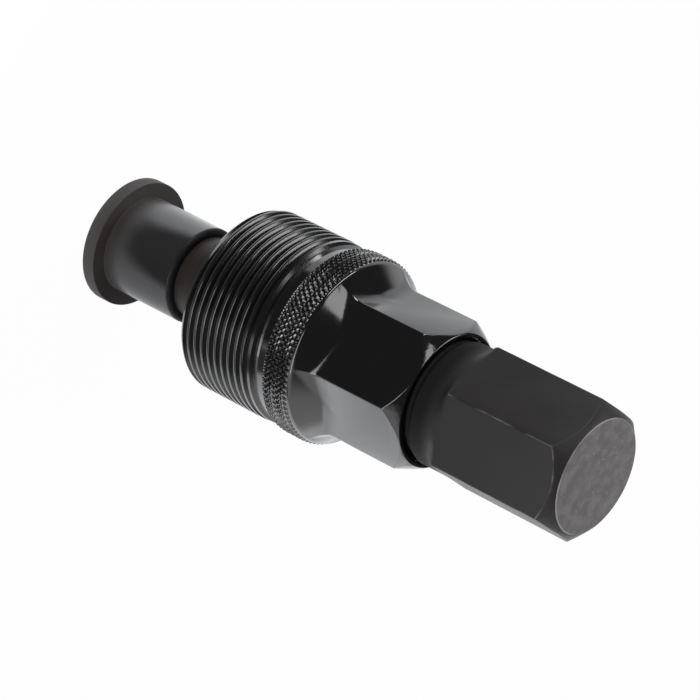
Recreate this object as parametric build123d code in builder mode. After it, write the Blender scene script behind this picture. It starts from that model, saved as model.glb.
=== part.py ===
# Screw-type crank puller: sleeve, spindle, swivelling push foot and the ring that keeps the foot on.
# Millimetres, +Z up. The tool stands on the face of its push foot, axis on Z, hexagons at the top.
import os

from build123d import *

os.makedirs("parts", exist_ok=True)

# Running clearances, radial unless named otherwise
RUN_CLEAR = 0.05
END_CLEAR = 0.05
RING_CLEAR = 0.05

# Push foot
FLANGE_R = 7.5
FLANGE_T = 1.8
FLANGE_BREAK = 0.25
FOOT_R = 5.75
FOOT_LEN = 12.0
FOOT_LIP = 0.6
FOOT_FLOOR = 2.5
FOOT_ROOT = 0.4

# Spindle
NOSE_R = 4.85
NOSE_BREAK = 0.4
SHANK_R = 6.9
SHANK_START = 16.3
SHANK_BREAK = 0.7
NECK_R = 7.2
NECK_BREAK = 0.35
SPINDLE_HEX_AF = 14.4
SPINDLE_HEX_START = 51.9
SPINDLE_TOP = 68.6
SPINDLE_END_R = 6.6
SPINDLE_CORNER_DROP = 1.6
HEX_LEAD = 0.7

# Sleeve
SLEEVE_FRONT = 18.6
SLEEVE_END = 48.2
THREAD_R = 10.9
THREAD_LEN = 10.75
THREAD_LEAD_R = 0.45
THREAD_LEAD_LEN = 0.6
RELIEF_DEPTH = 0.7
RELIEF_RUNOUT = 0.6
KNURL_STEP = 0.15
KNURL_START = 31.2
KNURL_LEN = 3.05
KNURL_BREAK = 0.15
SHOULDER_STEP = 0.3
CROWN_SHARE = 0.45
RUNOUT_SHARE = 0.85
SLEEVE_HEX_AF = 15.8
SLEEVE_END_R = 7.8
SLEEVE_CORNER_DROP = 1.8
MOUTH_BREAK = 0.5

# Retaining ring, shared between a groove in the nose and a groove in the foot
RING_SECTION_R = 0.45
RING_CENTRE_R = 4.75
RING_HEIGHT = 7.0

# Derived sizes
NECK_GAP = 0.6
NECK_START = SLEEVE_END + NECK_GAP
NOSE_START = FOOT_FLOOR + END_CLEAR
FOOT_BORE_R = NOSE_R + RUN_CLEAR
SLEEVE_BORE_R = SHANK_R + RUN_CLEAR
KNURL_END = KNURL_START + KNURL_LEN
THREAD_END = SLEEVE_FRONT + THREAD_LEN
RELIEF_R = THREAD_R - RELIEF_DEPTH
KNURL_R = THREAD_R + KNURL_STEP
SHOULDER_R = KNURL_R - SHOULDER_STEP
GROOVE_HALF = RING_SECTION_R + RING_CLEAR
NOSE_GROOVE_R = RING_CENTRE_R - GROOVE_HALF
FOOT_GROOVE_R = RING_CENTRE_R + GROOVE_HALF
SLEEVE_FLAT = SLEEVE_HEX_AF / 2
SPINDLE_FLAT = SPINDLE_HEX_AF / 2
HEX_CORNER = 2 / 3**0.5
SLEEVE_CORNER = SLEEVE_FLAT * HEX_CORNER
SPINDLE_CORNER = SPINDLE_FLAT * HEX_CORNER
# The shoulder runs out just under the flats, so each flat blends into the round
SHOULDER_ROOT_R = SLEEVE_FLAT - RUN_CLEAR
# The shoulder falls at 45 degrees, rounded over at the top and hollowed out at the bottom
SHOULDER_FALL = SHOULDER_R - SHOULDER_ROOT_R
SHOULDER_CROWN = CROWN_SHARE * SHOULDER_FALL
SHOULDER_RUNOUT = RUNOUT_SHARE * SHOULDER_FALL
HALF_BEND = 2**0.5 - 1
CONE_TOP = KNURL_END + HALF_BEND * SHOULDER_CROWN + END_CLEAR
CONE_ROOT = CONE_TOP + SHOULDER_FALL
SHOULDER_FOOT = CONE_ROOT + HALF_BEND * SHOULDER_RUNOUT + END_CLEAR
SPINDLE_HEX_TURN = 30

# Push foot: a flange to bear on the axle, a barrel, and a blind bore over the spindle nose
with BuildPart() as push_foot:
    with BuildSketch(Plane.XZ):
        with BuildLine():
            Polyline(
                (0, 0),
                (FLANGE_R, 0),
                (FLANGE_R, FLANGE_T),
                (FOOT_R, FLANGE_T),
                (FOOT_R, FOOT_LEN),
                (FOOT_BORE_R, FOOT_LEN),
                (FOOT_BORE_R, RING_HEIGHT + GROOVE_HALF),
                (FOOT_GROOVE_R, RING_HEIGHT + GROOVE_HALF),
                (FOOT_GROOVE_R, RING_HEIGHT - GROOVE_HALF),
                (FOOT_BORE_R, RING_HEIGHT - GROOVE_HALF),
                (FOOT_BORE_R, FOOT_FLOOR),
                (0, FOOT_FLOOR),
                close=True,
            )
        make_face()
    revolve(axis=Axis.Z)
    outer_edges = push_foot.edges().filter_by(GeomType.CIRCLE)
    chamfer(outer_edges.filter_by(lambda e: e.radius > FOOT_R and e.center().Z == 0), FLANGE_BREAK)
    barrel_edges = push_foot.edges().filter_by(GeomType.CIRCLE)
    barrel_edges = barrel_edges.filter_by(lambda e: abs(e.radius - FOOT_R) < RUN_CLEAR)
    fillet(barrel_edges.sort_by(Axis.Z)[-1], FOOT_LIP)
    root_edges = push_foot.edges().filter_by(GeomType.CIRCLE)
    root_edges = root_edges.filter_by(lambda e: abs(e.radius - FOOT_R) < RUN_CLEAR)
    chamfer(root_edges.sort_by(Axis.Z)[0], FOOT_ROOT)
push_foot.part.label = "push_foot"

# Spindle: nose with ring groove, threaded shank left at its crest size, neck, chamfered hexagon
with BuildPart() as spindle:
    with BuildSketch(Plane.XY.offset(SPINDLE_HEX_START)):
        RegularPolygon(SPINDLE_FLAT, 6, major_radius=False, rotation=SPINDLE_HEX_TURN)
    extrude(amount=SPINDLE_TOP - SPINDLE_HEX_START)
    # The turned envelope cuts the lead-in behind the corners and the chamfer on the end
    with BuildSketch(Plane.XZ):
        with BuildLine():
            Polyline(
                (0, SPINDLE_HEX_START),
                (NECK_R, SPINDLE_HEX_START),
                (SPINDLE_CORNER, SPINDLE_HEX_START + HEX_LEAD),
                (SPINDLE_CORNER, SPINDLE_TOP - SPINDLE_CORNER_DROP),
                (SPINDLE_END_R, SPINDLE_TOP),
                (0, SPINDLE_TOP),
                close=True,
            )
        make_face()
    revolve(axis=Axis.Z, mode=Mode.INTERSECT)
    with BuildSketch(Plane.XZ):
        with BuildLine():
            Polyline(
                (0, NOSE_START),
                (NOSE_R - NOSE_BREAK, NOSE_START),
                (NOSE_R, NOSE_START + NOSE_BREAK),
                (NOSE_R, RING_HEIGHT - GROOVE_HALF),
                (NOSE_GROOVE_R, RING_HEIGHT - GROOVE_HALF),
                (NOSE_GROOVE_R, RING_HEIGHT + GROOVE_HALF),
                (NOSE_R, RING_HEIGHT + GROOVE_HALF),
                (NOSE_R, SHANK_START),
                (SHANK_R - SHANK_BREAK, SHANK_START),
                (SHANK_R, SHANK_START + SHANK_BREAK),
                (SHANK_R, NECK_START),
                (NECK_R - NECK_BREAK, NECK_START),
                (NECK_R, NECK_START + NECK_BREAK),
                (NECK_R, SPINDLE_HEX_START),
                (0, SPINDLE_HEX_START),
                close=True,
            )
        make_face()
    revolve(axis=Axis.Z)
spindle.part.label = "spindle"

# Sleeve: a turned shoulder that falls in a concave run-out onto the six flats of the hexagon
with BuildPart() as sleeve:
    with BuildSketch(Plane.XY.offset(KNURL_END)):
        RegularPolygon(SLEEVE_FLAT, 6, major_radius=False)
    extrude(amount=SLEEVE_END - KNURL_END)
    # A long cone scallops the end of every flat
    with BuildSketch(Plane.XZ):
        with BuildLine():
            Polyline(
                (0, KNURL_END),
                (SLEEVE_CORNER, KNURL_END),
                (SLEEVE_CORNER, SLEEVE_END - SLEEVE_CORNER_DROP),
                (SLEEVE_END_R, SLEEVE_END),
                (0, SLEEVE_END),
                close=True,
            )
        make_face()
    revolve(axis=Axis.Z, mode=Mode.INTERSECT)
    with BuildSketch(Plane.XZ) as turned:
        with BuildLine():
            Polyline(
                (0, SLEEVE_FRONT),
                (THREAD_R - THREAD_LEAD_R, SLEEVE_FRONT),
                (THREAD_R, SLEEVE_FRONT + THREAD_LEAD_LEN),
                (THREAD_R, THREAD_END),
                (RELIEF_R, THREAD_END + RELIEF_RUNOUT),
                (RELIEF_R, KNURL_START),
                (KNURL_R - KNURL_BREAK, KNURL_START),
                (KNURL_R, KNURL_START + KNURL_BREAK),
                (KNURL_R, KNURL_END - KNURL_BREAK),
                (SHOULDER_R, KNURL_END),
                (SHOULDER_R, CONE_TOP),
                (SHOULDER_ROOT_R, CONE_ROOT),
                (SHOULDER_ROOT_R, SHOULDER_FOOT),
                (0, SHOULDER_FOOT),
                close=True,
            )
        make_face()
        fillet(turned.vertices().sort_by_distance((SHOULDER_R, CONE_TOP))[0], SHOULDER_CROWN)
        fillet(turned.vertices().sort_by_distance((SHOULDER_ROOT_R, CONE_ROOT))[0], SHOULDER_RUNOUT)
    revolve(axis=Axis.Z)
    # Bore for the spindle, with a broken edge at both mouths
    with BuildSketch(Plane.XZ):
        with BuildLine():
            Polyline(
                (0, SLEEVE_FRONT),
                (SLEEVE_BORE_R + MOUTH_BREAK, SLEEVE_FRONT),
                (SLEEVE_BORE_R, SLEEVE_FRONT + MOUTH_BREAK),
                (SLEEVE_BORE_R, SLEEVE_END - MOUTH_BREAK),
                (SLEEVE_BORE_R + MOUTH_BREAK, SLEEVE_END),
                (0, SLEEVE_END),
                close=True,
            )
        make_face()
    revolve(axis=Axis.Z, mode=Mode.SUBTRACT)
sleeve.part.label = "sleeve"

# Retaining ring: a plain round-section ring
with BuildPart() as retaining_ring:
    with BuildSketch(Plane.XZ):
        with Locations((RING_CENTRE_R, RING_HEIGHT)):
            Circle(RING_SECTION_R)
    revolve(axis=Axis.Z)
retaining_ring.part.label = "retaining_ring"

export_step(push_foot.part, "parts/push_foot.step")
export_step(spindle.part, "parts/spindle.step")
export_step(sleeve.part, "parts/sleeve.step")
export_step(retaining_ring.part, "parts/retaining_ring.step")
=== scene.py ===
"""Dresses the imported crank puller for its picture.

The sleeve, spindle, push foot and retaining ring are turned, milled, threaded and knurled here as
fine meshes that stand for the CAD nodes, each riding on its own CAD body. Sizes are millimetres in
the pieces and their finishes, and metres in the meshes and the studio. Heights are above the floor.
"""
import logging
import math
from dataclasses import dataclass
from enum import Enum
from typing import Any, Callable, Optional, Sequence, Union

import bmesh
import bpy
from mathutils import Matrix, Vector


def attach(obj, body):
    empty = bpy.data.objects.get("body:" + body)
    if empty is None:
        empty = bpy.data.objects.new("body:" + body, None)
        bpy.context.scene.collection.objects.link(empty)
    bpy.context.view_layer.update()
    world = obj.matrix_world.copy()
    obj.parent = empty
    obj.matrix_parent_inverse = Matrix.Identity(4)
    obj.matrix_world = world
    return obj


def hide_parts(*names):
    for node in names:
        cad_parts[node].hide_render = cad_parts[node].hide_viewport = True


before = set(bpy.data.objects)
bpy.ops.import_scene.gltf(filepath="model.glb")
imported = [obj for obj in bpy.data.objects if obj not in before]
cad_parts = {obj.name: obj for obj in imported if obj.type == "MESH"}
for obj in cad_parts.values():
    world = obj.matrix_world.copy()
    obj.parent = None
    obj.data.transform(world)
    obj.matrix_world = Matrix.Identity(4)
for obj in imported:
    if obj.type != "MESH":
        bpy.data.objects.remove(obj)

Point = tuple[float, float]
Place = tuple[float, float, float]
Colour = tuple[float, float, float, float]
Term = Union["Value", float]

MM = 0.001
# Lengths in millimetres that are too small to see: a tolerance, and the lap of two shells
TINY = 1e-4
LAP = 0.002
SIDES = 6
SIXTH = math.tau / SIDES
# Steps round a turned piece and round the blank of a hexagon
ROUND_STEPS = 192
HEX_STEPS = 240
# Faces that meet at a larger angle have a hard edge between them
SHARP = math.radians(28.0)
# Face attribute of the edges that are worn bright and carry a painted edge highlight
WEAR = "wear"
WHITE = (1.0, 1.0, 1.0, 1.0)
log = logging.getLogger("crank_puller")


class Body(Enum):
    """The CAD bodies that the pieces ride on."""

    SLEEVE = "sleeve"
    RING = "ring"
    SPINDLE = "spindle"
    FOOT = "foot"


class Slot(Enum):
    """The record's material slots."""

    SLEEVE = "sleeve_black"
    SPINDLE = "spindle_dark"
    FOOT = "foot_satin"
    RING = "ring_rubber"


class Value:
    """A shader socket that takes part in Python arithmetic."""

    def __init__(self, graph: "Graph", socket: bpy.types.NodeSocket) -> None:
        """Wraps one socket of a graph."""
        self.graph = graph
        self.socket = socket

    def _math(self, operation: str, *terms: Term) -> "Value":
        """Adds one Math node.

        Args:
            operation: the Math node's operation.
            terms: its inputs, in order.

        Returns:
            The node's result.
        """
        inputs = dict(enumerate(terms))
        return self.graph.node("ShaderNodeMath", {"operation": operation}, inputs)

    def __add__(self, other: Term) -> "Value":
        """Sum."""
        return self._math("ADD", self, other)

    def __sub__(self, other: Term) -> "Value":
        """Difference."""
        return self._math("SUBTRACT", self, other)

    def __mul__(self, other: Term) -> "Value":
        """Product."""
        return self._math("MULTIPLY", self, other)

    def __radd__(self, other: float) -> "Value":
        """Reflected sum."""
        return self._math("ADD", other, self)

    def __rsub__(self, other: float) -> "Value":
        """Reflected difference."""
        return self._math("SUBTRACT", other, self)

    def __rmul__(self, other: float) -> "Value":
        """Reflected product."""
        return self._math("MULTIPLY", other, self)

    def above(self, edge: float) -> "Value":
        """One where the value is over an edge, else zero."""
        return self._math("GREATER_THAN", self, edge)

    def sine(self) -> "Value":
        """Sine of the value in radians."""
        return self._math("SINE", self)

    def root(self) -> "Value":
        """Square root of the value."""
        return self._math("SQRT", self)

    def either(self, other: "Value") -> "Value":
        """The larger of two values."""
        return self._math("MAXIMUM", self, other)

    def beside(self, output: Union[str, int]) -> "Value":
        """Another output of the same node."""
        return Value(self.graph, self.socket.node.outputs[output])


@dataclass(frozen=True)
class Patches:
    """Soft-edged patches of noise: its cells per metre, its levels across an edge, its octaves."""

    scale: float
    edge: Point
    detail: float = 3.0


class Graph:
    """Builds one node tree."""

    def __init__(self, tree: bpy.types.NodeTree) -> None:
        """Starts an empty tree."""
        self.tree = tree
        tree.nodes.clear()

    def node(
        self,
        kind: str,
        settings: Optional[dict[str, Any]] = None,
        inputs: Optional[dict[Union[str, int], Any]] = None,
        output: Union[str, int] = 0,
    ) -> Value:
        """Adds a node of any kind.

        Args:
            kind: the node's type.
            settings: its own properties, which are set first.
            inputs: values or links by socket name or number.
            output: the socket to hand back.

        Returns:
            The asked output, ready for arithmetic, or the first input of a node that has no outputs.
        """
        made = self.tree.nodes.new(kind)
        for name, value in (settings or {}).items():
            setattr(made, name, value)
        for name, value in (inputs or {}).items():
            if isinstance(value, Value):
                self.tree.links.new(value.socket, made.inputs[name])
            else:
                made.inputs[name].default_value = value
        return Value(self, made.outputs[output] if made.outputs else made.inputs[0])

    def place(self) -> Value:
        """Object coordinates of the surface."""
        return self.node("ShaderNodeTexCoord", output="Object")

    def axes(self, vector: Value) -> tuple[Value, Value, Value]:
        """Splits a vector into its X, Y and Z."""
        first = self.node("ShaderNodeSeparateXYZ", None, {0: vector})
        return first, first.beside(1), first.beside(2)

    def noise(self, scale: float, detail: float = 3.0) -> Value:
        """A noise value around one half.

        Args:
            scale: cells per metre.
            detail: octaves.

        Returns:
            The noise factor.
        """
        inputs = {"Vector": self.place(), "Scale": scale, "Detail": detail}
        return self.node("ShaderNodeTexNoise", None, inputs)

    def patches(self, patches: Patches) -> Value:
        """One within a patch and zero between the patches."""
        return self.ease(self.noise(patches.scale, patches.detail), *patches.edge)

    def blend(self, factor: Value, low: Any, high: Any) -> Value:
        """Mixes two colours.

        Args:
            factor: zero for low, one for high.
            low: a colour or a link.
            high: a colour or a link.

        Returns:
            The mixed colour.
        """
        return self.node(
            "ShaderNodeMix", {"data_type": "RGBA"}, {0: factor, 6: low, 7: high}, output=2
        )

    def ease(self, value: Value, low: float, high: float) -> Value:
        """Eases a value from zero to one.

        Args:
            value: the value to read.
            low: where the rise starts.
            high: where it ends.

        Returns:
            The eased value.
        """
        inputs = {"Value": value, "From Min": low, "From Max": high}
        return self.node("ShaderNodeMapRange", {"interpolation_type": "SMOOTHSTEP"}, inputs)

    def rise(self, length: Value, span: Point) -> Value:
        """Eases a length in metres from zero to one over a span in millimetres."""
        return self.ease(length, span[0] * MM, span[1] * MM)

    def bump(self, height: Value, strength: float, distance: float) -> Value:
        """A normal from a height.

        Args:
            height: the height value.
            strength: how strongly it tilts the surface.
            distance: the height's reach in metres.

        Returns:
            The normal.
        """
        inputs = {"Height": height, "Strength": strength, "Distance": distance}
        return self.node("ShaderNodeBump", None, inputs)

    def surface(self, inputs: dict[str, Any]) -> None:
        """Ends the tree in a principled surface with the given inputs."""
        self.finish(self.node("ShaderNodeBsdfPrincipled", None, inputs))

    def finish(self, shader: Value) -> None:
        """Links a shader to the tree's output."""
        world = isinstance(self.tree.id_data, bpy.types.World)
        kind = "ShaderNodeOutputWorld" if world else "ShaderNodeOutputMaterial"
        self.node(kind, None, {"Surface": shader})


def new_material(name: str) -> tuple[bpy.types.Material, Graph]:
    """Starts a material.

    Args:
        name: the material's name.

    Returns:
        The material and its empty graph.
    """
    material = bpy.data.materials.new(name)
    material.use_nodes = True
    return material, Graph(material.node_tree)


@dataclass(frozen=True)
class GlossBlack:
    """Glossy black coating on the steel sleeve, rough at its tooled end and duller on its thread."""

    colour: Colour = (0.006, 0.006, 0.0065, 1.0)
    polish: float = 0.08
    unevenness: float = 0.08
    refraction: float = 1.8
    tooled: Point = (46.7, 47.3)
    thread: Point = (29.0, 30.2)
    dull: float = 0.05
    cloud_scale: float = 420.0
    grain_scale: float = 900.0
    tool_scale: float = 2600.0
    tool_depth: float = 3.0
    bump_strength: float = 0.03
    bump_reach: float = 0.0002

    def make(self) -> bpy.types.Material:
        """Makes the finish.

        Returns:
            The material.
        """
        material, graph = new_material("gloss black sleeve")
        cloud = graph.noise(self.cloud_scale)
        height = graph.axes(graph.place())[2]
        tooled = graph.rise(height, self.tooled)
        thread = 1.0 - graph.rise(height, self.thread)
        grain = graph.noise(self.grain_scale, detail=2.0)
        relief = grain + tooled * graph.noise(self.tool_scale) * self.tool_depth
        graph.surface(
            {
                "Base Color": self.colour,
                "Roughness": self.polish + self.unevenness * cloud + self.dull * thread,
                "IOR": self.refraction,
                "Normal": graph.bump(relief, self.bump_strength, self.bump_reach),
            }
        )
        return material


@dataclass(frozen=True)
class DarkOxide:
    """Matte dark oxide on the spindle, with painted shade at its neck and a bare turned face on its
    end.
    """

    end_height: float
    chamfer: float
    mouth: Point
    colour: Colour = (0.0235, 0.021, 0.0215, 1.0)
    # Colour of the painted shade on the neck where it leaves the sleeve
    painted_shade: Colour = (0.006, 0.006, 0.006, 1.0)
    rubbed: Colour = (0.0325, 0.0297, 0.0302, 1.0)
    # Broken edges: worn steel, and a painted edge highlight
    worn: Colour = (0.15, 0.147, 0.145, 1.0)
    bare: Colour = (0.205, 0.192, 0.196, 1.0)
    bare_light: Colour = (0.345, 0.326, 0.331, 1.0)
    # Rim of the end face: worn steel, and a painted edge highlight
    rim: Colour = (0.40, 0.39, 0.39, 1.0)
    nose: Colour = (0.027, 0.021, 0.019, 1.0)
    nose_height: float = 16.5
    roughness: float = 0.46
    unevenness: float = 0.14
    shade_dull: float = 0.4
    shade_depths: Point = (7.0, 1.5)
    refraction: float = 1.38
    face_band: float = 0.06
    rim_band: float = 0.16
    arc_band: float = 0.15
    # Side along X where the chamfer's arcs keep a painted highlight
    highlight_side: Point = (-0.5, 1.0)
    ring_pitch: float = 0.24
    ring_reach: Point = (1.6, 4.6)
    wander: float = 0.7
    wander_scale: float = 900.0
    cloud_scale: float = 260.0
    grain_scale: float = 2400.0
    grain_height: float = 0.35
    swirl_height: float = 0.6
    sweeps: Patches = Patches(420.0, (0.42, 0.6))
    specks: Patches = Patches(2300.0, (0.66, 0.74), 1.0)
    blotches: Patches = Patches(700.0, (0.36, 0.66))
    # Patches where broken edges are bright: wear and painted edge highlight
    rubs: Patches = Patches(330.0, (0.38, 0.62))
    rim_wear_and_highlight: Patches = Patches(240.0, (0.35, 0.55))
    base_tone: float = 0.14
    swirl_tone: float = 0.6
    speck_tone: float = 0.9
    blotch_tone: float = 0.5
    bump_strength: float = 0.18
    bump_reach: float = 0.00003

    def make(self) -> bpy.types.Material:
        """Makes the finish.

        Returns:
            The material.
        """
        material, graph = new_material("dark oxide spindle")
        x, y, z = graph.axes(graph.place())
        cloud = graph.noise(self.cloud_scale)
        wear = graph.node("ShaderNodeAttribute", {"attribute_name": WEAR}, output="Fac")
        shade = self._shade(graph, z)
        skin = graph.blend(cloud, self.colour, self.rubbed)
        # Broken edges lighter: wear in patches, and a painted edge highlight
        skin = graph.blend(wear * self._edge_wear_and_highlight(graph, x, z), skin, self.worn)
        # Painted shade: the neck darkened where it leaves the sleeve's mouth
        skin = graph.blend(shade, skin, self.painted_shade)
        skin = graph.blend(z.above(self.nose_height * MM), self.nose, skin)

        swirl = self._swirl(graph, (x * x + y * y).root())
        specks = graph.patches(self.specks)
        tone = self.base_tone + self.swirl_tone * swirl + self.speck_tone * specks
        tone = tone + self.blotch_tone * graph.patches(self.blotches)
        turned = graph.blend(tone, self.bare, self.bare_light)
        # Rim of the end face lighter in patches: wear and a painted edge highlight
        rim = wear * z.above((self.end_height - self.rim_band) * MM)
        turned = graph.blend(rim * graph.patches(self.rim_wear_and_highlight), turned, self.rim)

        face = z.above((self.end_height - self.face_band) * MM)
        grain = self.grain_height * graph.noise(self.grain_scale, detail=2.0)
        height = face * (self.swirl_height * swirl + specks) + grain
        graph.surface(
            {
                "Base Color": graph.blend(face, skin, turned),
                "Roughness": self.roughness + self.unevenness * (cloud - 0.5) + self.shade_dull * shade,
                "IOR": self.refraction,
                "Normal": graph.bump(height, self.bump_strength, self.bump_reach),
            }
        )
        return material

    def _shade(self, graph: Graph, height: Value) -> Value:
        """Painted shade on the neck where it leaves the sleeve's mouth.

        Args:
            graph: the material's graph.
            height: the surface's height.

        Returns:
            One in the painted shade, zero elsewhere.
        """
        deep, shallow = (self.mouth[0] - depth for depth in self.shade_depths)
        return graph.rise(height, (deep, shallow)) * (1.0 - graph.rise(height, self.mouth))

    def _edge_wear_and_highlight(self, graph: Graph, side: Value, height: Value) -> Value:
        """Where a broken edge is bright: lost oxide, and a painted edge highlight.

        Args:
            graph: the material's graph.
            side: the surface's place along X.
            height: the surface's height.

        Returns:
            One where it is bright: wear in patches; on the chamfer's arcs, painted highlight on one
                side.
        """
        arc_foot = self.end_height - self.chamfer
        arcs = graph.rise(height, (arc_foot - self.arc_band, arc_foot))
        clear = 1.0 - graph.rise(side, self.highlight_side)
        return graph.patches(self.rubs) * (1.0 - arcs * clear)

    def _swirl(self, graph: Graph, radius: Value) -> Value:
        """Turning rings on the end face.

        Args:
            graph: the material's graph.
            radius: distance from the axis.

        Returns:
            Waves that wander, fade in patches and die out towards the rim.
        """
        wander = graph.noise(self.wander_scale) * self.wander
        rings = (radius * (math.tau / (self.ring_pitch * MM)) + wander * math.tau).sine()
        return rings * graph.patches(self.sweeps) * (1.0 - graph.rise(radius, self.ring_reach))


@dataclass(frozen=True)
class SatinSteel:
    """Satin black barrel, dull lip darkened with painted shade, and dull brown flange of the push foot.
    """

    flange_height: float
    lip: Point
    colour: Colour = (0.006, 0.0065, 0.0075, 1.0)
    worn: Colour = (0.012, 0.012, 0.013, 1.0)
    flange: Colour = (0.023, 0.0165, 0.0155, 1.0)
    roughness: float = 0.17
    unevenness: float = 0.10
    dull: float = 0.45
    change: float = 3.6
    # Metallic weight that darkens the lip as painted shade
    lip_painted_shade: float = 0.75
    refraction: float = 1.7
    cloud_scale: float = 380.0
    grain_scale: float = 2600.0
    bump_strength: float = 0.08
    bump_reach: float = 0.00003

    def make(self) -> bpy.types.Material:
        """Makes the finish.

        Returns:
            The material.
        """
        material, graph = new_material("satin steel foot")
        cloud = graph.noise(self.cloud_scale)
        height = graph.axes(graph.place())[2]
        flange = 1.0 - graph.rise(height, (self.flange_height, self.flange_height + self.change))
        lip = graph.rise(height, self.lip)
        barrel = graph.blend(cloud, self.colour, self.worn)
        uneven = self.unevenness * (cloud - 0.5)
        grain = graph.noise(self.grain_scale, detail=2.0)
        graph.surface(
            {
                "Base Color": graph.blend(flange, barrel, self.flange),
                "Roughness": self.roughness + self.dull * (flange + lip) + uneven,
                # Metallic on the black base darkens the lip: painted shade
                "Metallic": self.lip_painted_shade * lip,
                "IOR": self.refraction,
                "Normal": graph.bump(grain, self.bump_strength, self.bump_reach),
            }
        )
        return material


@dataclass(frozen=True)
class BlackRubber:
    """Rubber of the retaining ring."""

    colour: Colour = (0.012, 0.012, 0.012, 1.0)
    roughness: float = 0.6

    def make(self) -> bpy.types.Material:
        """Makes the finish.

        Returns:
            The material.
        """
        material, graph = new_material("rubber ring")
        graph.surface({"Base Color": self.colour, "Roughness": self.roughness})
        return material


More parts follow.
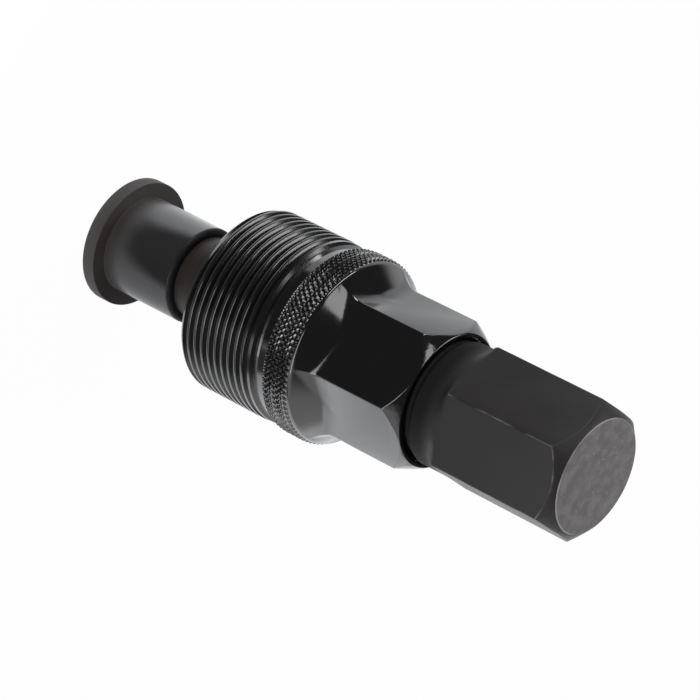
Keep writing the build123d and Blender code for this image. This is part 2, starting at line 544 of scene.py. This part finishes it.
@dataclass
class Lathe:
    """Turns, threads, knurls and mills about the tool's axis.

    The weld and the snap are metres, the crest's ease a share of the pitch, the sharp angle degrees.
    """

    steps: int
    sectors: int = 16
    weld: float = 2e-7
    snap: float = 1e-9
    crest_ease: float = 0.05
    spare: float = 0.3
    least_sharp: float = 20.0

    def turn(self, mesh: bmesh.types.BMesh, outline: Sequence[Point], closed: bool = False) -> None:
        """Spins an outline into a surface.

        Args:
            mesh: the mesh to add to.
            outline: radius and height of each corner, in millimetres.
            closed: joins the last corner to the first.
        """
        self._spin(mesh, outline, closed, 0.0)

    def _spin(
        self, mesh: bmesh.types.BMesh, outline: Sequence[Point], closed: bool, lead: float
    ) -> list[bmesh.types.BMVert]:
        """Spins an outline once round, rising by a lead: one sector first, then copies of it.

        Args:
            mesh: the mesh to add to.
            outline: radius and height of each corner, in millimetres.
            closed: joins the last corner to the first.
            lead: rise over the turn, in millimetres.

        Returns:
            The vertices that the spin left.
        """
        before = {*mesh.verts, *mesh.edges, *mesh.faces}
        corners = [mesh.verts.new((r * MM, 0.0, z * MM)) for r, z in outline]
        sides = [mesh.edges.new(pair) for pair in zip(corners, corners[1:])]
        if closed:
            sides.append(mesh.edges.new((corners[-1], corners[0])))
        about = {"cent": (0.0, 0.0, 0.0), "axis": (0.0, 0.0, 1.0)}
        bmesh.ops.spin(
            mesh,
            geom=corners + sides,
            dvec=(0.0, 0.0, lead * MM / self.steps),
            angle=math.tau / self.sectors,
            steps=self.steps // self.sectors,
            **about,
        )
        after = [*mesh.verts, *mesh.edges, *mesh.faces]
        bmesh.ops.spin(
            mesh,
            geom=[part for part in after if part not in before],
            dvec=(0.0, 0.0, lead * MM / self.sectors),
            angle=math.tau * (self.sectors - 1) / self.sectors,
            steps=self.sectors - 1,
            use_duplicate=True,
            **about,
        )
        return [v for v in mesh.verts if v not in before]

    def thread(
        self,
        mesh: bmesh.types.BMesh,
        ends: tuple[Point, Point],
        crest: float,
        root: float,
        pitch: float,
        limit: Callable[[float], float],
    ) -> None:
        """Adds a right-hand V thread between two plain edges.

        Args:
            mesh: the mesh to add to.
            ends: radius and height of the lower and the upper plain edge.
            crest: crest radius.
            root: root radius.
            pitch: rise of one turn.
            limit: largest radius allowed at a height, for the lead-in and the run-out.
        """
        (low_r, low), (high_r, high) = ends
        eased = crest - self.crest_ease * pitch
        # Corners of one turn: the part of the pitch that lies below each, and its radius
        form = ((0.06, root), (0.33, eased), (0.44, crest), (0.56, crest), (0.67, eased), (0.94, root))
        turns = math.ceil((high - low) / pitch) + 1
        # Starts two turns low: the spin lifts it by one, and what is left is drawn onto the edge
        outline = [(r, low + (n + part) * pitch) for n in range(-2, turns) for part, r in form]
        for vert in self._spin(mesh, outline, False, pitch):
            height = vert.co.z / MM
            radius = min(vert.co.xy.length / MM, limit(height))
            if height <= low:
                radius, height = low_r, low
            elif height >= high:
                radius, height = high_r, high
            vert.co = (*(vert.co.xy.normalized() * radius * MM), height * MM)

    def form(
        self,
        mesh: bmesh.types.BMesh,
        ends: tuple[Point, Point],
        heights: Sequence[float],
        radius: Callable[[float, float], float],
    ) -> None:
        """Adds a tube between two plain edges whose radius follows a rule.

        Args:
            mesh: the mesh to add to.
            ends: radius and height of the lower and the upper plain edge.
            heights: height of each ring between them, low to high.
            radius: gives the radius at an angle in radians and a height.
        """
        (low_r, low), (high_r, high) = ends
        outline = [ends[0], *((low_r, z) for z in heights), ends[1]]
        for vert in self._spin(mesh, outline, False, 0.0):
            height = vert.co.z / MM
            if height <= low + TINY:
                across = low_r
            elif height >= high - TINY:
                across = high_r
            else:
                across = radius(math.atan2(vert.co.y, vert.co.x), height)
            vert.co = (*(vert.co.xy.normalized() * across * MM), vert.co.z)

    def blank(self, across: float, low: float, top: float, end_r: float, drop: float) -> list[Point]:
        """Outside of a turned blank for a hexagon, with a cone across its end.

        Args:
            across: width across flats of the hexagon to be milled.
            low: height of the blank's lower edge.
            top: height of its end face.
            end_r: radius of its end face.
            drop: how far the cone falls between the end face and the hexagon's corners.

        Returns:
            The outline's corners, low to high.
        """
        corner = across / math.sqrt(3.0)
        slope = drop / (corner - end_r)
        outer = corner + self.spare
        return [(outer, low), (outer, top - drop - self.spare * slope), (end_r, top)]

    def mill_hexagon(self, mesh: bmesh.types.BMesh, across: float, turn: float) -> None:
        """Mills six flats on everything in a mesh.

        Args:
            mesh: the turned blank, larger than the hexagon's corners.
            across: width across flats.
            turn: direction of the first flat, in degrees.
        """
        for side in range(SIDES):
            angle = math.radians(turn + 360.0 / SIDES * side)
            normal = Vector((math.cos(angle), math.sin(angle), 0.0))
            bmesh.ops.bisect_plane(
                mesh,
                geom=mesh.verts[:] + mesh.edges[:] + mesh.faces[:],
                dist=self.snap,
                plane_co=normal * across / 2.0 * MM,
                plane_no=normal,
                clear_outer=True,
            )
            rim = [e for e in mesh.edges if e.is_boundary]
            bmesh.ops.edgeloop_fill(mesh, edges=rim)

    def clean(self, mesh: bmesh.types.BMesh) -> None:
        """Welds seams and poles and points the faces outwards."""
        bmesh.ops.remove_doubles(mesh, verts=mesh.verts[:], dist=self.weld)
        bmesh.ops.dissolve_degenerate(mesh, edges=mesh.edges[:], dist=self.weld)
        bmesh.ops.recalc_face_normals(mesh, faces=mesh.faces[:])

    def break_edges(
        self, mesh: bmesh.types.BMesh, width: float, above: float, worn_above: float
    ) -> None:
        """Breaks the sharp edges of a milled piece with a small round.

        Args:
            mesh: the mesh to bevel.
            width: size of the break, in millimetres.
            above: height that an edge must reach over to count.
            worn_above: height over which a broken edge is marked for wear and a painted edge highlight.
        """
        least = math.radians(self.least_sharp)
        sharp = [
            e
            for e in mesh.edges
            if e.calc_face_angle(0.0) > least and max(v.co.z for v in e.verts) > above * MM
        ]
        wear = mesh.faces.layers.float.new(WEAR)
        made = bmesh.ops.bevel(
            mesh,
            geom=sharp,
            offset=width * MM,
            affect="EDGES",
            segments=2,
            profile=0.5,
            material=-1,
        )
        # Faces above that height get the mark for wear and a painted edge highlight
        for face in made["faces"]:
            face[wear] = float(face.calc_center_median().z > worn_above * MM)


def soft_min(first: float, second: float, width: float) -> float:
    """The smaller of two sizes, eased where they cross.

    Args:
        first: one size.
        second: the other size.
        width: difference within which the two blend.

    Returns:
        The eased minimum.
    """
    overlap = max(0.0, width - abs(first - second))
    return min(first, second) - (overlap * overlap / (4.0 * width) if overlap else 0.0)


def six_sided(across: float, off: float, ridge: float) -> float:
    """Radius of a hexagon with eased ridges.

    Args:
        across: width across flats.
        off: radians from the middle of the nearest flat.
        ridge: difference of radius within which two flats blend.

    Returns:
        The radius.
    """
    flat = across / 2.0
    return soft_min(flat / math.cos(off), flat / math.cos(SIXTH - off), ridge)


def spread(low: float, high: float, count: int) -> list[float]:
    """Evenly spaced values.

    Args:
        low: first value.
        high: end of the range, left out.
        count: how many.

    Returns:
        The values.
    """
    return [low + (high - low) * n / count for n in range(count)]


def arc(centre: Point, radius: float, start: float, stop: float, count: int = 8) -> list[Point]:
    """Corners of a rounded stretch of an outline.

    Args:
        centre: radius and height of the arc's centre.
        radius: the arc's own radius.
        start: first angle in degrees, from outwards towards up.
        stop: last angle in degrees.
        count: steps along the arc.

    Returns:
        The corners, both ends included.
    """
    angles = [math.radians(start + (stop - start) * n / count) for n in range(count + 1)]
    return [(centre[0] + radius * math.cos(a), centre[1] + radius * math.sin(a)) for a in angles]


def join(whole: bmesh.types.BMesh, part: bmesh.types.BMesh) -> None:
    """Adds one mesh to another.

    Args:
        whole: the mesh that grows.
        part: the mesh to add, which is freed.
    """
    data = bpy.data.meshes.new("part")
    part.to_mesh(data)
    part.free()
    whole.faces.layers.float.new(WEAR)
    whole.from_mesh(data)
    bpy.data.meshes.remove(data)


def new_piece(
    name: str, mesh: bmesh.types.BMesh, material: bpy.types.Material, body: Body, node: str
) -> bpy.types.Object:
    """Puts a finished mesh into the scene in place of a CAD node.

    Args:
        name: the piece's name.
        mesh: its finished mesh, which is freed.
        material: its finish.
        body: the CAD body it rides on.
        node: the CAD node it stands for.

    Returns:
        The new object.
    """
    data = bpy.data.meshes.new(name)
    mesh.to_mesh(data)
    mesh.free()
    data.shade_smooth()
    data.set_sharp_from_angle(angle=SHARP)
    data.materials.append(material)
    piece = bpy.data.objects.new(name, data)
    bpy.context.scene.collection.objects.link(piece)
    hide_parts(node)
    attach(piece, body.value)
    log.info("%s: %d faces", name, len(data.polygons))
    return piece


@dataclass
class Sleeve:
    """Threaded sleeve with a relief, a knurled ring, a shoulder and a hexagon."""

    front: float = 18.6
    end: float = 48.2
    thread_r: float = 10.9
    thread_end: float = 29.35
    thread_depth: float = 0.48
    pitch: float = 1.0
    lead_r: float = 10.45
    lead_length: float = 0.6
    fade_depth: float = 0.15
    fade_length: float = 1.6
    relief_r: float = 10.4
    relief_runout: float = 0.6
    knurl_start: float = 31.2
    knurl_end: float = 34.62
    knurl_r: float = 11.04
    knurl_land: float = 10.9
    knurl_depth: float = 0.30
    knurl_teeth: int = 96
    tooth_steps: int = 6
    tooth_flat: float = 0.2
    knurl_slant: float = 0.80
    knurl_rows: int = 32
    shoulder_r: float = 10.75
    shoulder_root: float = 7.85
    shoulder_rows: int = 40
    crown: float = 0.45
    cone_top: float = 34.84
    runout: float = 2.465
    plain_gap: float = 1.0
    across: float = 15.8
    hex_turn: float = 30.0
    ridge: float = 0.16
    blend: float = 1.8
    edge: float = 0.09
    end_r: float = 7.8
    corner_drop: float = 1.8
    bore: float = 6.95
    mouth: float = 0.5

    def __post_init__(self) -> None:
        """Works out where the shoulder's cone and its two rounds meet."""
        bend = math.sqrt(2.0) - 1.0
        self.crown_height = self.cone_top - bend * self.crown
        cone_root = self.cone_top + self.shoulder_r - self.shoulder_root
        self.hollow_height = cone_root + bend * self.runout
        self.plain = self.hollow_height + self.plain_gap

    def build(self) -> bpy.types.Object:
        """Builds and dresses the sleeve.

        Returns:
            The piece's object.
        """
        mesh = self.turned_mesh()
        join(mesh, self.hexagon_mesh())
        finish = GlossBlack().make()
        return new_piece("threaded_sleeve", mesh, finish, Body.SLEEVE, "sleeve")

    def turned_mesh(self) -> bmesh.types.BMesh:
        """Turns the thread, the relief, the knurl, the shoulder and the bore within them.

        Returns:
            The mesh.
        """
        lathe = Lathe(self.knurl_teeth * self.tooth_steps)
        mesh = bmesh.new()
        thread_low = (self.lead_r, self.front)
        thread_high = (self.relief_r, self.thread_end + self.relief_runout)
        knurl_low = (self.knurl_land, self.knurl_start)
        knurl_high = (self._shoulder_radius(self.knurl_end), self.knurl_end)
        plain_high = (self.bore, self.plain + LAP)
        root = self.thread_r - self.thread_depth
        lathe.thread(
            mesh, (thread_low, thread_high), self.thread_r, root, self.pitch, self._thread_limit
        )
        lathe.turn(mesh, [thread_high, (self.relief_r, self.knurl_start), knurl_low])
        rows = spread(self.knurl_start, self.knurl_end, self.knurl_rows)[1:]
        lathe.form(mesh, (knurl_low, knurl_high), rows, self._knurl_radius)
        rows = [*spread(self.knurl_end, self.plain, self.shoulder_rows)[1:], self.plain]
        lathe.form(mesh, (knurl_high, plain_high), rows, self._hexagon_radius)
        inside = [
            plain_high,
            (self.bore, self.front + self.mouth),
            (self.bore + self.mouth, self.front),
            thread_low,
        ]
        lathe.turn(mesh, inside)
        lathe.clean(mesh)
        return mesh

    def hexagon_mesh(self) -> bmesh.types.BMesh:
        """Mills the plain stretch of the hexagon, with its scalloped end.

        Returns:
            The mesh.
        """
        lathe = Lathe(HEX_STEPS)
        mesh = bmesh.new()
        outline = [
            (self.bore, self.plain),
            *lathe.blank(self.across, self.plain, self.end, self.end_r, self.corner_drop),
            (self.bore + self.mouth, self.end),
            (self.bore, self.end - self.mouth),
        ]
        lathe.turn(mesh, outline, closed=True)
        lathe.clean(mesh)
        lathe.mill_hexagon(mesh, self.across, self.hex_turn)
        lathe.clean(mesh)
        lathe.break_edges(mesh, self.edge, above=self.plain + TINY, worn_above=self.end)
        return mesh

    def _thread_limit(self, height: float) -> float:
        """Largest thread radius at a height.

        Args:
            height: millimetres above the floor.

        Returns:
            The radius that the lead-in, the fading last turn and the run-out leave.
        """
        lead = self.lead_r + (height - self.front) * (self.thread_r - self.lead_r) / self.lead_length
        fading = min(1.0, max(0.0, 1.0 - (self.thread_end - height) / self.fade_length))
        top = self.thread_r - self.fade_depth * fading
        over = max(0.0, height - self.thread_end)
        tail = top - over * (top - self.relief_r) / self.relief_runout
        return min(lead, tail)

    def _knurl_radius(self, angle: float, height: float) -> float:
        """Radius of the diamond knurl.

        Args:
            angle: radians round the axis.
            height: millimetres above the floor.

        Returns:
            The radius, less where a groove of either hand passes and where the teeth end.
        """
        turn = angle / math.tau * self.knurl_teeth
        rise = (height - self.knurl_start) / self.knurl_slant
        grooves = [abs((turn + hand * rise) % 1.0 - 0.5) * 2.0 for hand in (-1, 1)]
        depth = self.knurl_depth * max(0.0, max(grooves) - self.tooth_flat) / (1.0 - self.tooth_flat)
        tooth_end = self.shoulder_r + self.knurl_end - height
        return min(tooth_end, self.knurl_r - depth)

    def _shoulder_radius(self, height: float) -> float:
        """Radius of the turned shoulder.

        Args:
            height: millimetres above the floor.

        Returns:
            The radius on the crown, the cone or the hollow run-out.
        """
        rise = height - self.crown_height
        fall = self.hollow_height - height
        if rise <= 0.0:
            return self.shoulder_r
        if rise < self.crown / math.sqrt(2.0):
            return self.shoulder_r - self.crown + math.sqrt(self.crown**2 - rise**2)
        if fall <= 0.0:
            return self.shoulder_root
        if fall < self.runout / math.sqrt(2.0):
            return self.shoulder_root + self.runout - math.sqrt(self.runout**2 - fall**2)
        return self.shoulder_r - (height - self.cone_top)

    def _hexagon_radius(self, angle: float, height: float) -> float:
        """Radius of the hexagon where it grows out of the shoulder.

        Args:
            angle: radians round the axis, with a corner at zero.
            height: millimetres above the floor.

        Returns:
            The radius, eased at the ridges and into the shoulder.
        """
        off = abs(angle % SIXTH - SIXTH / 2.0)
        six = six_sided(self.across, off, self.ridge)
        left = max(0.0, (self.plain - height) / (self.plain - self.cone_top))
        blend = TINY + self.blend * min(1.0, math.sqrt(left)) * off / (SIXTH / 2.0)
        return -soft_min(-self._shoulder_radius(height), -six, blend)


@dataclass
class Spindle:
    """Screw spindle with a hexagon, a neck, a threaded shank and a grooved nose."""

    nose_r: float = 4.85
    nose_start: float = 2.55
    nose_break: float = 0.4
    groove_r: float = 4.25
    groove_low: float = 6.5
    groove_high: float = 7.5
    shank_r: float = 6.9
    shank_start: float = 16.3
    shank_lead: float = 0.7
    thread_depth: float = 0.8
    pitch: float = 1.5
    neck_r: float = 7.2
    neck_start: float = 48.8
    neck_break: float = 0.35
    shade_low: float = 1.2
    shade_high: float = 1.0
    across: float = 14.4
    hex_turn: float = 0.0
    hex_start: float = 51.9
    hex_lead: float = 0.7
    hex_rows: int = 24
    top: float = 68.6
    end_r: float = 6.6
    corner_drop: float = 1.6
    edge: float = 0.1
    ridge: float = 0.17
    ease_in: float = 0.4

    def __post_init__(self) -> None:
        """Works out where the hexagon starts to grow and where it is whole."""
        self.grow = self.hex_start - self.ease_in
        self.plain = self.hex_start + self.hex_lead + self.ease_in

    def build(self) -> bpy.types.Object:
        """Builds and dresses the spindle.

        Returns:
            The piece's object.
        """
        mesh = self.shank_mesh()
        join(mesh, self.hexagon_mesh())
        # Heights over which the painted shade on the neck fades out
        mouth = (self.neck_start + self.shade_low, self.grow + self.shade_high)
        finish = DarkOxide(self.top, self.corner_drop, mouth).make()
        return new_piece("screw_spindle", mesh, finish, Body.SPINDLE, "spindle")

    def shank_mesh(self) -> bmesh.types.BMesh:
        """Turns the nose, the threaded shank, the neck and the start of the hexagon.

        Returns:
            The mesh.
        """
        lathe = Lathe(ROUND_STEPS)
        mesh = bmesh.new()
        root = self.shank_r - self.thread_depth
        thread_low = (self.shank_r - self.shank_lead, self.shank_start)
        thread_high = (root, self.neck_start)
        neck_high = (self.neck_r, self.grow)
        plain_high = (self.nose_r, self.plain + LAP)
        nose = [
            (0.0, self.nose_start),
            (self.nose_r - self.nose_break, self.nose_start),
            (self.nose_r, self.nose_start + self.nose_break),
            (self.nose_r, self.groove_low),
            (self.groove_r, self.groove_low),
            (self.groove_r, self.groove_high),
            (self.nose_r, self.groove_high),
            (self.nose_r, self.shank_start),
            thread_low,
        ]
        break_centre = (self.neck_r - self.neck_break, self.neck_start + self.neck_break)
        neck_edge = arc(break_centre, self.neck_break, -90.0, 0.0, count=5)
        lathe.turn(mesh, nose)
        lathe.thread(
            mesh, (thread_low, thread_high), self.shank_r, root, self.pitch, self._thread_limit
        )
        lathe.turn(mesh, [thread_high, *neck_edge, neck_high])
        rows = [*spread(self.grow, self.plain, self.hex_rows)[1:], self.plain]
        lathe.form(mesh, (neck_high, plain_high), rows, self._hexagon_radius)
        lathe.turn(mesh, [plain_high, (0.0, plain_high[1])])
        lathe.clean(mesh)
        return mesh

    def hexagon_mesh(self) -> bmesh.types.BMesh:
        """Mills the plain stretch of the hexagon, with its chamfered end.

        Returns:
            The mesh.
        """
        lathe = Lathe(HEX_STEPS)
        mesh = bmesh.new()
        outline = [
            (0.0, self.plain),
            *lathe.blank(self.across, self.plain, self.top, self.end_r, self.corner_drop),
            (0.0, self.top),
        ]
        lathe.turn(mesh, outline)
        lathe.clean(mesh)
        lathe.mill_hexagon(mesh, self.across, self.hex_turn)
        lathe.clean(mesh)
        lathe.break_edges(mesh, self.edge, above=self.plain + TINY, worn_above=self.plain)
        return mesh

    def _thread_limit(self, height: float) -> float:
        """Largest shank radius at a height, which the lead-in leaves."""
        return self.shank_r - self.shank_lead + max(0.0, height - self.shank_start)

    def _hexagon_radius(self, angle: float, height: float) -> float:
        """Radius where the hexagon grows out of the neck.

        Args:
            angle: radians round the axis, with a flat at zero.
            height: millimetres above the floor.

        Returns:
            The radius, round below and six-sided above.
        """
        off = abs((angle + SIXTH / 2.0) % SIXTH - SIXTH / 2.0)
        six = six_sided(self.across, off, self.ridge)
        part = min(1.0, (height - self.grow) / (self.plain - self.grow))
        return self.neck_r + (six - self.neck_r) * part * part * (3.0 - 2.0 * part)


@dataclass
class PushFoot:
    """Flanged foot that swivels on the spindle's nose."""

    flange_r: float = 7.5
    flange_t: float = 1.8
    flange_break: float = 0.25
    flange_ease: float = 0.12
    barrel_r: float = 5.75
    length: float = 12.0
    lip: float = 0.6
    lip_shade: float = 0.3
    root: float = 0.06
    bore: float = 4.9
    floor: float = 2.5
    groove_r: float = 5.25
    groove_low: float = 6.5
    groove_high: float = 7.5

    def build(self) -> bpy.types.Object:
        """Builds and dresses the foot.

        Returns:
            The piece's object.
        """
        lathe = Lathe(ROUND_STEPS)
        mesh = bmesh.new()
        centre = (self.flange_r - self.flange_break, self.flange_break)
        face = arc(centre, self.flange_break, -90.0, 0.0, count=5)
        centre = (self.flange_r - self.flange_ease, self.flange_t - self.flange_ease)
        top = arc(centre, self.flange_ease, 0.0, 90.0, count=3)
        centre = (self.barrel_r + self.root, self.flange_t + self.root)
        inner = arc(centre, self.root, 270.0, 180.0, count=5)
        centre = (self.barrel_r - self.lip, self.length - self.lip)
        lip = arc(centre, self.lip, 0.0, 90.0)
        bore = [
            (self.bore, self.length),
            (self.bore, self.groove_high),
            (self.groove_r, self.groove_high),
            (self.groove_r, self.groove_low),
            (self.bore, self.groove_low),
            (self.bore, self.floor),
            (0.0, self.floor),
        ]
        lathe.turn(mesh, [(0.0, 0.0), *face, *top, *inner, *lip, *bore])
        lathe.clean(mesh)
        # Span of the lip that is dulled and darkened with painted shade
        dull = (self.length - self.lip, self.length - self.lip_shade)
        finish = SatinSteel(self.flange_t, dull).make()
        return new_piece("push_foot_visual", mesh, finish, Body.FOOT, "push_foot")


@dataclass
class RetainingRing:
    """Round-section ring that keeps the foot on the nose."""

    centre_r: float = 4.75
    section_r: float = 0.45
    section_steps: int = 24
    height: float = 7.0

    def build(self) -> bpy.types.Object:
        """Builds and dresses the ring.

        Returns:
            The piece's object.
        """
        lathe = Lathe(ROUND_STEPS // 2)
        mesh = bmesh.new()
        centre = (self.centre_r, self.height)
        section = arc(centre, self.section_r, 0.0, 360.0, self.section_steps)[:-1]
        lathe.turn(mesh, section, closed=True)
        lathe.clean(mesh)
        finish = BlackRubber().make()
        return new_piece("retaining_ring_visual", mesh, finish, Body.RING, "retaining_ring")


@dataclass(frozen=True)
class Lamp:
    """A soft rectangular lamp: where it hangs, its width and height, and its watts."""

    name: str
    place: Place
    size: Point
    power: float

    def hang(self, target: Vector) -> None:
        """Hangs the lamp so that it faces a target.

        Args:
            target: the point to face.
        """
        data = bpy.data.lights.new(self.name, "AREA")
        data.shape = "RECTANGLE"
        data.size, data.size_y = self.size
        data.energy = self.power
        lamp = bpy.data.objects.new(self.name, data)
        bpy.context.scene.collection.objects.link(lamp)
        place = Vector(self.place)
        turn = (target - place).to_track_quat("-Z", "Y").to_matrix().to_4x4()
        lamp.matrix_world = Matrix.Translation(place) @ turn


@dataclass
class Studio:
    """Pale floor, soft light and the photograph's camera.

    The camera's distance and the aim's height are millimetres, the aim pixels and the scale pixels
    per millimetre. The world's spans are parts of a unit direction.
    """

    reach: float = 1.2
    front: float = 0.05
    corner: float = 0.034
    cut: float = math.radians(5.0)
    floor_shade: float = 0.35
    floor_glow: float = 0.92
    floor_white: float = 1.06
    mirrored: float = 1.9
    cool: Colour = (0.96, 0.97, 1.0, 1.0)
    fade: Point = (-0.016, -0.008)
    dim: float = 0.45
    rise: Point = (0.02, 0.05)
    near: float = 0.45
    near_reach: Point = (0.022, 0.030)
    near_side: Point = (-0.013, -0.008)
    patch: float = 0.55
    patch_inner: Point = (0.045, 0.050)
    patch_outer: Point = (0.057, 0.062)
    patch_side: Point = (-0.047, -0.036)
    dusk: float = 0.06
    backdrop: float = 1.0
    backdrop_depth: Point = (-0.1, 0.3)
    backdrop_height: Point = (0.12, 0.3)
    window: float = 0.95
    window_side: Point = (0.5, 0.66)
    window_height: Point = (0.55, 0.78)
    lamps: tuple[Lamp, ...] = (
        Lamp("key", (-0.28, -0.23, 0.45), (0.17, 0.26), 0.405),
        Lamp("strip", (-0.30, 0.15, 0.44), (0.24, 0.24), 0.7),
        Lamp("front", (0.215, -0.33, 0.115), (0.36, 0.15), 0.51),
        Lamp("left", (-0.33, -0.19, 0.075), (0.30, 0.10), 0.56),
    )
    lamp_target: Place = (0.0, 0.0, 0.035)
    camera_distance: float = 400.0
    tilt: float = 33.52
    roll: float = 26.98
    swing: float = 4.7
    scale: float = 8.96
    aim: Point = (249.32, 300.1)
    aim_height: float = 19.0
    image: float = 700.0
    sensor: float = 36.0
    clip: Point = (0.01, 20.0)

    def build(self) -> None:
        """Builds the floor, the world, the lamps and the camera."""
        bpy.context.scene.view_settings.view_transform = "Standard"
        self.lay_floor()
        self.light_world()
        for lamp in self.lamps:
            lamp.hang(Vector(self.lamp_target))
        self.set_camera()

    def lay_floor(self) -> None:
        """Builds the floor, cut off obliquely in front of the tool."""
        mesh = bmesh.new()
        bmesh.ops.create_grid(mesh, x_segments=1, y_segments=1, size=1.0)
        deep = (self.reach + self.front) / 2.0
        bmesh.ops.scale(mesh, vec=(self.reach, deep, 1.0), verts=mesh.verts[:])
        bmesh.ops.translate(mesh, vec=(0.0, deep - self.front, 0.0), verts=mesh.verts[:])
        outwards = Vector((-math.sin(self.cut), -math.cos(self.cut), 0.0))
        bmesh.ops.bisect_plane(
            mesh,
            geom=mesh.verts[:] + mesh.edges[:] + mesh.faces[:],
            plane_co=outwards * self.corner,
            plane_no=outwards,
            clear_outer=True,
        )
        data = bpy.data.meshes.new("floor")
        mesh.to_mesh(data)
        mesh.free()
        floor = bpy.data.objects.new("floor", data)
        bpy.context.scene.collection.objects.link(floor)
        data.materials.append(self._floor_finish())

    def _floor_finish(self) -> bpy.types.Material:
        """Makes the floor's finish: white, with a soft shadow, and uneven where the gloss mirrors it.

        Returns:
            The material.
        """
        material, graph = new_material("pale floor")
        camera = graph.node("ShaderNodeLightPath", output="Is Camera Ray")
        glossy = camera.beside("Is Glossy Ray")
        through = camera.beside("Is Transmission Ray")
        shade = (self.floor_shade, self.floor_shade, self.floor_shade, 1.0)
        paper = graph.node("ShaderNodeBsdfDiffuse", None, {"Color": shade})
        lit = {"Color": WHITE, "Strength": self.floor_white}
        white = graph.node("ShaderNodeEmission", None, lit)
        seen = camera.either(through) * self.floor_glow
        plain = graph.node("ShaderNodeMixShader", None, {0: seen, 1: paper, 2: white})

        side, depth, _ = graph.axes(graph.node("ShaderNodeNewGeometry", output="Position"))
        reach = (side * side + depth * depth).root()
        near = 1.0 - graph.ease(reach, *self.near_reach)
        near = near * (1.0 - graph.ease(side, *self.near_side))
        band = graph.ease(reach, *self.patch_inner) * (1.0 - graph.ease(reach, *self.patch_outer))
        patch = band * (1.0 - graph.ease(side, *self.patch_side))
        level = self.dim + (1.0 - self.dim) * graph.ease(side, *self.rise) + self.near * near
        reflected = glossy * (graph.ease(depth, *self.fade) * level + self.patch * patch)
        lit = {"Color": self.cool, "Strength": self.mirrored}
        mirrored = graph.node("ShaderNodeEmission", None, lit)
        graph.finish(graph.node("ShaderNodeMixShader", None, {0: reflected, 1: plain, 2: mirrored}))
        return material

    def light_world(self) -> None:
        """Surrounds the scene with a dark room: a pale backdrop low behind, a window on the right."""
        world = bpy.data.worlds.new("soft studio")
        bpy.context.scene.world = world
        world.use_nodes = True
        graph = Graph(world.node_tree)
        side, depth, height = graph.axes(graph.node("ShaderNodeTexCoord", output="Generated"))
        camera = graph.node("ShaderNodeLightPath", output="Is Camera Ray")
        behind = graph.ease(depth, *self.backdrop_depth)
        low = 1.0 - graph.ease(height, *self.backdrop_height)
        right = graph.ease(side, *self.window_side) * (1.0 - graph.ease(height, *self.window_height))
        level = self.dusk + (self.backdrop - self.dusk) * behind * low + self.window * right
        strength = camera + (1.0 - camera) * level
        graph.finish(graph.node("ShaderNodeBackground", None, {"Color": WHITE, "Strength": strength}))

    def set_camera(self) -> None:
        """Places the camera where the photograph was taken, rolled so that the axis runs downhill."""
        tilt, roll, swing = (math.radians(a) for a in (self.tilt, self.roll, self.swing))
        along = Vector((0.0, 0.0, 1.0))
        across = Vector((math.cos(swing), math.sin(swing), 0.0))
        behind = Vector((-math.sin(swing), math.cos(swing), 0.0))
        flat = math.cos(tilt) * along + math.sin(tilt) * behind
        right = math.cos(roll) * flat - math.sin(roll) * across
        down = math.sin(roll) * flat + math.cos(roll) * across
        away = math.cos(tilt) * behind - math.sin(tilt) * along
        offset = [(pixel - self.image / 2.0) / self.scale for pixel in self.aim]
        aim = Vector((0.0, 0.0, self.aim_height))
        place = aim - (offset[0] * right + offset[1] * down + self.camera_distance * away)
        data = bpy.data.cameras.new("photo camera")
        data.sensor_width = self.sensor
        data.lens = self.scale * self.camera_distance / self.image * self.sensor
        data.clip_start, data.clip_end = self.clip
        camera = bpy.data.objects.new("photo camera", data)
        bpy.context.scene.collection.objects.link(camera)
        turn = Matrix((right, -down, -away)).transposed().to_4x4()
        camera.matrix_world = Matrix.Translation(place * MM) @ turn
        bpy.context.scene.camera = camera


def main() -> None:
    """Builds every piece and the studio, in order."""
    logging.basicConfig(level=logging.INFO, format="%(name)s: %(message)s")
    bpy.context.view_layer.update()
    for part in (Sleeve(), Spindle(), PushFoot(), RetainingRing()):
        piece = part.build()
        log.info("placed %s", piece.name)
    Studio().build()


if __name__ == "__main__":
    main()
